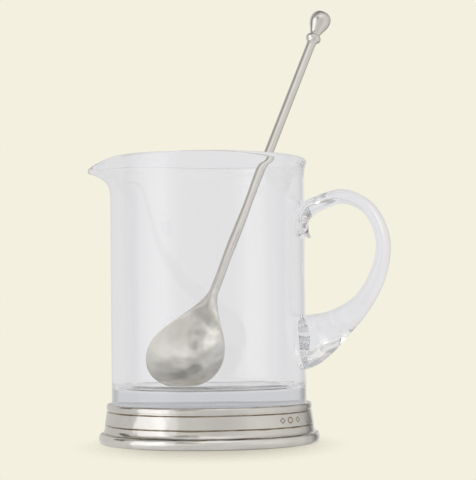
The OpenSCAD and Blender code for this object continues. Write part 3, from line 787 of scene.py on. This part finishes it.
# %% Make the pewter
def pewter_finish(name, colour, shadow, roughness, dark_lines=(), dents=0.3):
    """Pewter with cloudy tone and roughness, dents, fine grain, and dark lines of tarnish and painted shade.
    """
    material, tree, shader, _ = new_material(name, Metallic=1.0)
    where = add(tree, "ShaderNodeTexCoord").outputs["Object"]
    clouds = add(tree, "ShaderNodeTexNoise", {"Vector": where, "Scale": per_metre(CLOUD_W), "Detail": 4.0})
    tones = {"Factor": clouds.outputs["Fac"], 6: linear(shadow), 7: linear(colour)}
    top = add(tree, "ShaderNodeMix", tones, data_type="RGBA").outputs[2]
    if dark_lines:
        layers = {"Factor": tarnish_and_shade_amount(tree, where, dark_lines), 6: top, 7: linear(TARNISH_AND_SHADE)}
        top = add(tree, "ShaderNodeMix", layers, data_type="RGBA").outputs[2]
    tree.links.new(top, shader.inputs["Base Color"])
    haze = add(tree, "ShaderNodeMapRange", {
        "Value": clouds.outputs["Fac"], "To Min": roughness * HAZE_LOW, "To Max": roughness * HAZE_HIGH,
    })
    tree.links.new(haze.outputs[0], shader.inputs["Roughness"])
    beaten = add(tree, "ShaderNodeTexNoise", {"Vector": where, "Scale": per_metre(DENT_W), "Detail": 1.0})
    slow = add(tree, "ShaderNodeBump", {
        "Height": beaten.outputs["Fac"], "Strength": dents, "Distance": DENT_DEPTH / 1000,
    })
    grain = add(tree, "ShaderNodeTexNoise", {"Vector": where, "Scale": per_metre(GRAIN_W), "Detail": 3.0})
    bump = add(tree, "ShaderNodeBump", {
        "Height": grain.outputs["Fac"], "Normal": slow.outputs[0],
        "Strength": GRAIN_STRENGTH, "Distance": GRAIN_DEPTH / 1000,
    })
    tree.links.new(bump.outputs[0], shader.inputs["Normal"])
    return material


satin = pewter_finish("satin-pewter", "#DAD8D4", "#C9C7C2", 0.07, dark_lines=BAND_LINES)
polished = pewter_finish("polished-pewter", "#DCDAD6", "#CECCC7", 0.08, dents=0.04)
dress(foot, pewter_finish("rolled-pewter-foot", "#E4E2DE", "#D2D0CB", 0.045, dark_lines=FOOT_LINES))
# The bowl's pewter is a little lighter than the rod's: a painted light that brightens it behind the glass.
dress(spoon_bowl, pewter_finish("beaten-pewter-bowl", "#E2E0DB", "#D0CDC7", 0.2, dents=0.6))
dress(spoon_rod, pewter_finish("drawn-pewter-rod", "#DAD8D4", "#CDCBC6", 0.12, dents=0.04))
dress(knob_bead, polished)
dress(knob, polished)
dress(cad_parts["base_plate"], satin)
print("pewter finishes:", len([m for m in bpy.data.materials if "pewter" in m.name]))

# %% [markdown]
# ### Cement
#
# The glass is set into its collar with a pale cement, like plaster, and a film of it
# stays on the collar's bore. It only shows through the glass. Light that has scattered
# about in the solid glass base reaches it from all sides, more than the render finds on
# its own, so the cement gets a weak glow that stands for that light: painted light. The
# bore takes the same glowing finish, so it too is brightened by painted light.

# %% Make the cement
GRIT_W, CEMENT_GLOW = 3.33, 0.52  # clots of grit, in millimetres: single grains are too fine to show
cement, tree, shader, _ = new_material(
    "setting-cement", Roughness=0.9, Emission_Color=linear("#E4E5EA"), Emission_Strength=CEMENT_GLOW)
where = add(tree, "ShaderNodeTexCoord").outputs["Object"]
grit = add(tree, "ShaderNodeTexNoise", {"Vector": where, "Scale": per_metre(GRIT_W), "Detail": 4.0})
tones = {"Factor": grit.outputs["Fac"], 6: linear("#DAD8D3"), 7: linear("#EEECE8")}
tree.links.new(add(tree, "ShaderNodeMix", tones, data_type="RGBA").outputs[2], shader.inputs["Base Color"])
dress(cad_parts["bond_ring"], cement)
# The bore's faces take the glowing cement: painted light that brightens the bore seen through the glass.
dress(band, satin, cement)
face_middle = np.empty(len(band.data.polygons) * 3)
band.data.polygons.foreach_get("center", face_middle)
face_x, face_y, face_z = face_middle.reshape(-1, 3).T * 1000
in_bore = (np.hypot(face_x, face_y) < COLLAR_BORE + SOLDER_GAP) & (face_z > LEDGE_Z)
band.data.polygons.foreach_set("material_index", in_bore.astype(np.int32))
print("cement:", cement.name, "on", int(in_bore.sum()), "faces of the bore")

# %% [markdown]
# ## The studio
#
# Glass and polished metal show what stands round them, so most of their look is the
# room. A pale tent surrounds the object, as for product photographs. Its brightness is
# given round the jug, once for the walls and once higher up, and a ceiling closes it.
# Two dark slots in the tent draw the dark accents on the pewter. The camera sees a cream
# background. Clear glass shows a neutral grey, as the backdrop behind it did, with a
# darker gap on each side that draws the dark lines at the edges of the glass.

# %% The brightness of the tent
CREAM, BEHIND_GLASS = "#F3F0DF", "#E1E1E3"
# A row for each place round the room: degrees from the camera, plus to the right, and a brightness.
WALLS = (
    (-180, 0.62), (-152, 0.72), (-121, 0.74), (-100, 0.78), (-91, 0.84), (-86, 1.3),
    (-54, 1.55), (-43, 1.1), (-33, 0.87), (10, 0.76), (60, 0.92), (112, 0.76),
    (126, 0.62), (136, 0.47), (144, 0.26), (152, 0.45), (163, 0.85), (180, 0.62),
)
HIGH_WALLS = (
    (-180, 0.28), (-150, 0.66), (-100, 0.36), (-70, 0.56), (-35, 0.95),
    (8, 1.2), (35, 1.0), (90, 0.70), (150, 0.45), (180, 0.28),
)
RAMP_TOP = 2.0  # a colour ramp holds no more than 1, so the brightness is a share of this
TENT_GREEN, TENT_BLUE, DIM_BLUE = 0.99, 0.99, 0.955  # the dimmer parts of the tent are a little warmer
# Heights in the room are sines of the angle above level.
HIGH_FROM, HIGH_TO, CEILING_FROM, CEILING_TO, CEILING_SHADE = 0.35, 0.75, 0.8, 0.95, 0.65
# A row for each dark slot: its middle, half width and softness in degrees, the heights of its
# foot and top, their softness, and its shade.
SLOTS = ((-111.0, 9.0, 4.0, 0.13, 0.62, 0.11, 0.3), (-30.0, 13.0, 12.0, 0.24, 0.8, 0.24, 0.5))
world = bpy.data.worlds.new("tent")
scene.world = world
world.use_nodes = True
tree = world.node_tree
tree.nodes.clear()
print("tent:", len(WALLS), "places round the walls and", len(SLOTS), "slots")


# %% Dark slots in the tent
def dark_slot(tree, azimuth, rise, middle, half_w, soft_w, from_z, to_z, soft_z, shade):
    """A soft-edged dark slot in the tent: shade in its middle and 1 away from it.

    It is the product of three soft steps: in from its sides, up from its foot and down
    from its top.
    """
    from_slot = add(tree, "ShaderNodeMath", {0: azimuth, 1: math.radians(-middle)}, operation="ADD")
    away = add(tree, "ShaderNodeMath", {0: from_slot.outputs[0]}, operation="ABSOLUTE")
    inside = 1.0
    for value, start, end in (
        (away.outputs[0], math.radians(half_w + soft_w), math.radians(half_w - soft_w)),
        (rise, from_z, from_z + soft_z),
        (rise, to_z, to_z - soft_z),
    ):
        edge = {"Value": value, "From Min": start, "From Max": end}
        step = add(tree, "ShaderNodeMapRange", edge, interpolation_type="SMOOTHSTEP")
        both = {0: inside, 1: step.outputs[0]}
        inside = add(tree, "ShaderNodeMath", both, operation="MULTIPLY").outputs[0]
    return add(tree, "ShaderNodeMapRange", {"Value": inside, "To Min": 1.0, "To Max": shade}).outputs[0]


# %% The tent as metal sees it
way = add(tree, "ShaderNodeTexCoord").outputs["Generated"]
rise = add(tree, "ShaderNodeSeparateXYZ", {"Vector": way}).outputs["Z"]
facing, aside = (
    add(tree, "ShaderNodeVectorMath", {0: way, 1: direction}, operation="DOT_PRODUCT").outputs["Value"]
    for direction in (towards_camera, to_the_right)
)
azimuth = add(tree, "ShaderNodeMath", {0: aside, 1: facing}, operation="ARCTAN2").outputs[0]
full_turn = {"Value": azimuth, "From Min": -math.pi, "From Max": math.pi}
round_room = add(tree, "ShaderNodeMapRange", full_turn).outputs[0]
upwards = {"Value": rise, "From Min": HIGH_FROM, "From Max": HIGH_TO}
levels = {"Factor": add(tree, "ShaderNodeMapRange", upwards, interpolation_type="SMOOTHSTEP").outputs[0]}
for socket, stops in ((6, WALLS), (7, HIGH_WALLS)):
    ramp = add(tree, "ShaderNodeValToRGB", {"Fac": round_room})
    ramp.color_ramp.interpolation = "EASE"
    points = ramp.color_ramp.elements
    while len(points) < len(stops):
        points.new(1.0)
    for point, (angle, brightness) in zip(points, stops):
        blue = DIM_BLUE if brightness < 1 else TENT_BLUE
        point.position = (angle + 180) / 360
        point.color = [brightness * part / RAMP_TOP for part in (1.0, TENT_GREEN, blue)] + [1.0]
    levels[socket] = ramp.outputs[0]
room = add(tree, "ShaderNodeMix", levels, data_type="RGBA").outputs[2]
ceiling = add(tree, "ShaderNodeMapRange", {
    "Value": rise, "From Min": CEILING_FROM, "From Max": CEILING_TO,
    "To Min": RAMP_TOP, "To Max": RAMP_TOP * CEILING_SHADE,
}, interpolation_type="SMOOTHSTEP")
for shade in [dark_slot(tree, azimuth, rise, *slot) for slot in SLOTS] + [ceiling.outputs[0]]:
    room = add(tree, "ShaderNodeVectorMath", {0: room, "Scale": shade}, operation="SCALE").outputs[0]
print("tent nodes for metal:", len(tree.nodes))

# %% [markdown]
# Light Path tells which kind of ray reaches the tent. A ray that left the glass on the
# far side sees the grey backdrop with its gaps. One that left it towards the camera sees
# the room, so that the spoon mirrors the same room inside the glass and above it. A ray
# from a matt surface sees an even tent, and the camera sees the cream background.

# %% The tent as each ray sees it
# Cosines of the angle from the camera: the middle of the gap, and half its core and half its width.
GAP_AT, GAP_CORE, GAP_EDGE, GAP_SHADE = -0.36, 0.06, 0.24, 0.6
BACKDROP_FROM, BACKDROP_FULL = 0.3, 0.0
SOFT_LEVEL = 0.74  # how bright matt surfaces find the tent
off = add(tree, "ShaderNodeMath", {0: facing, 1: -GAP_AT}, operation="ADD")
off_size = add(tree, "ShaderNodeMath", {0: off.outputs[0]}, operation="ABSOLUTE")
gap = add(tree, "ShaderNodeMapRange", {
    "Value": off_size.outputs[0], "From Min": GAP_CORE, "From Max": GAP_EDGE,
    "To Min": GAP_SHADE, "To Max": 1.0,
}, interpolation_type="SMOOTHSTEP")
grey = {0: linear(BEHIND_GLASS)[:3], "Scale": gap.outputs[0]}
by_glass = add(tree, "ShaderNodeVectorMath", grey, operation="SCALE")
path = add(tree, "ShaderNodeLightPath")
backdrop = add(tree, "ShaderNodeMapRange", {
    "Value": facing, "From Min": BACKDROP_FROM, "From Max": BACKDROP_FULL,
}, interpolation_type="SMOOTHSTEP")
behind = {0: path.outputs["Is Transmission Ray"], 1: backdrop.outputs[0]}
through = add(tree, "ShaderNodeMath", behind, operation="MULTIPLY")
for share, seen in (
    (through.outputs[0], by_glass.outputs[0]),
    (path.outputs["Is Diffuse Ray"], (SOFT_LEVEL, SOFT_LEVEL, SOFT_LEVEL, 1.0)),
    (path.outputs["Is Camera Ray"], linear(CREAM)),
):
    room = add(tree, "ShaderNodeMix", {"Factor": share, 6: room, 7: seen}, data_type="RGBA").outputs[2]
shine = add(tree, "ShaderNodeBackground", {"Color": room, "Strength": 1.0})
add(tree, "ShaderNodeOutputWorld", {"Surface": shine.outputs[0]})
world.cycles.sampling_method = "NONE"
print("tent nodes in all:", len(tree.nodes))

# %% [markdown]
# ### The lamps
#
# The tent already gives most of the light. Three large soft lamps, which no mirror and no
# glass shows, lift the left side of the jug, its far edge and the top of the rim, and
# throw the shadow forward.

# %% Place the lamps
# A row for each lamp: degrees from the camera, distance, height of its middle, width and
# height of its window, all in metres, and brightness.
LAMPS = (
    ("left-lamp", -71, 1.6, 1.35, 1.3, 3.3, 0.7),
    ("edge-lamp", 140, 1.6, 0.7, 0.26, 2.4, 0.2),
    ("back-lamp", 186, 1.4, 1.2, 1.0, 1.0, 2.1),
)
for name, lamp_turn, distance, middle_z, lamp_w, lamp_h, brightness in LAMPS:
    data = bpy.data.lights.new(name, "AREA")
    data.shape, data.size, data.size_y = "RECTANGLE", lamp_w, lamp_h
    data.energy = brightness * math.pi * lamp_w * lamp_h  # watts
    lamp = bpy.data.objects.new(name, data)
    a = math.radians(lamp_turn - 90 + VIEW_TURN)
    spot = Matrix.Translation((distance * math.cos(a), distance * math.sin(a), middle_z))
    lamp.matrix_world = spot @ Matrix.Rotation(a + math.pi / 2, 4, "Z") @ Matrix.Rotation(math.pi / 2, 4, "X")
    lamp.visible_camera = lamp.visible_transmission = lamp.visible_glossy = False
    scene.collection.objects.link(lamp)
print("lamps:", len(LAMPS))

# %% [markdown]
# ### The floor
#
# The floor is pale and matt. It only has to take the object's shadow, so it fades into
# the background in an oval that is long towards the camera, and the shadow stays a
# narrow one at the sides. The camera sees it in the cream of the background, and the
# rest of the room sees it in a neutral white. Glossy rays also find a weak glow in it, a
# painted light that shows the shaded floor lighter in the polished foot.

# %% Lay the floor
FLOOR_REACH, FLOOR_DROP = 1.2, 0.0001
floor_turn = np.linspace(0, 2 * np.pi, 128, endpoint=False)
floor_edge = [FLOOR_REACH * np.cos(floor_turn), FLOOR_REACH * np.sin(floor_turn), 0 * floor_turn - FLOOR_DROP]
floor_mesh = bpy.data.meshes.new("floor")
floor_mesh.from_pydata(np.stack(floor_edge, axis=1).tolist(), [], [list(range(len(floor_turn)))])
floor = bpy.data.objects.new("floor", floor_mesh)
scene.collection.objects.link(floor)
print("floor: %.1f m across" % (2 * FLOOR_REACH))

# %% Make the floor's finish
FLOOR_WHITE, FLOOR_CREAM = "#F4F4F2", "#F1EEDD"
# FLOOR_GLINT is a painted glow, seen only in reflections.
FLOOR_GLINT = 0.11  # the polished foot shows the shaded floor a little lighter
POOL_FORWARD, POOL_HALF_W, POOL_HALF_L, POOL_CORE_SHARE = 0.02, 0.082, 0.124, 0.36  # the oval
cloth, tree, shader, output = new_material(
    "pale-floor", Roughness=1.0, Specular_IOR_Level=0.0, Emission_Color=linear(FLOOR_WHITE))
path = add(tree, "ShaderNodeLightPath")
tones = {"Factor": path.outputs["Is Camera Ray"], 6: linear(FLOOR_WHITE), 7: linear(FLOOR_CREAM)}
tree.links.new(add(tree, "ShaderNodeMix", tones, data_type="RGBA").outputs[2], shader.inputs["Base Color"])
# Painted light: the floor glows for glossy rays only.
glint = add(tree, "ShaderNodeMath", {0: path.outputs["Is Glossy Ray"], 1: FLOOR_GLINT}, operation="MULTIPLY")
tree.links.new(glint.outputs[0], shader.inputs["Emission Strength"])
pool = add(tree, "ShaderNodeMapping", {
    "Vector": add(tree, "ShaderNodeTexCoord").outputs["Object"],
    "Location": [POOL_FORWARD * v for v in towards_camera],
    "Rotation": (0.0, 0.0, turn),
    "Scale": (POOL_HALF_W, POOL_HALF_L, 1.0),
}, vector_type="TEXTURE")
out_from = add(tree, "ShaderNodeVectorMath", {0: pool.outputs["Vector"]}, operation="LENGTH")
fade = add(tree, "ShaderNodeMapRange", {
    "Value": out_from.outputs["Value"], "From Min": POOL_CORE_SHARE, "From Max": 1.0,
}, interpolation_type="SMOOTHSTEP")
clear = add(tree, "ShaderNodeBsdfTransparent")
blend = add(tree, "ShaderNodeMixShader", {0: fade.outputs[0], 1: shader.outputs[0], 2: clear.outputs[0]})
tree.links.new(blend.outputs[0], output.inputs["Surface"])
dress(floor, cloth)
print("floor:", cloth.name)

# %% [markdown]
# ## Finish
#
# Light goes in and out of the thick glass many times, so the paths may be long.

# %% Set the bounces
BOUNCES = 160
scene.view_settings.view_transform = "Standard"
scene.cycles.max_bounces = scene.cycles.transmission_bounces = scene.cycles.glossy_bounces = BOUNCES
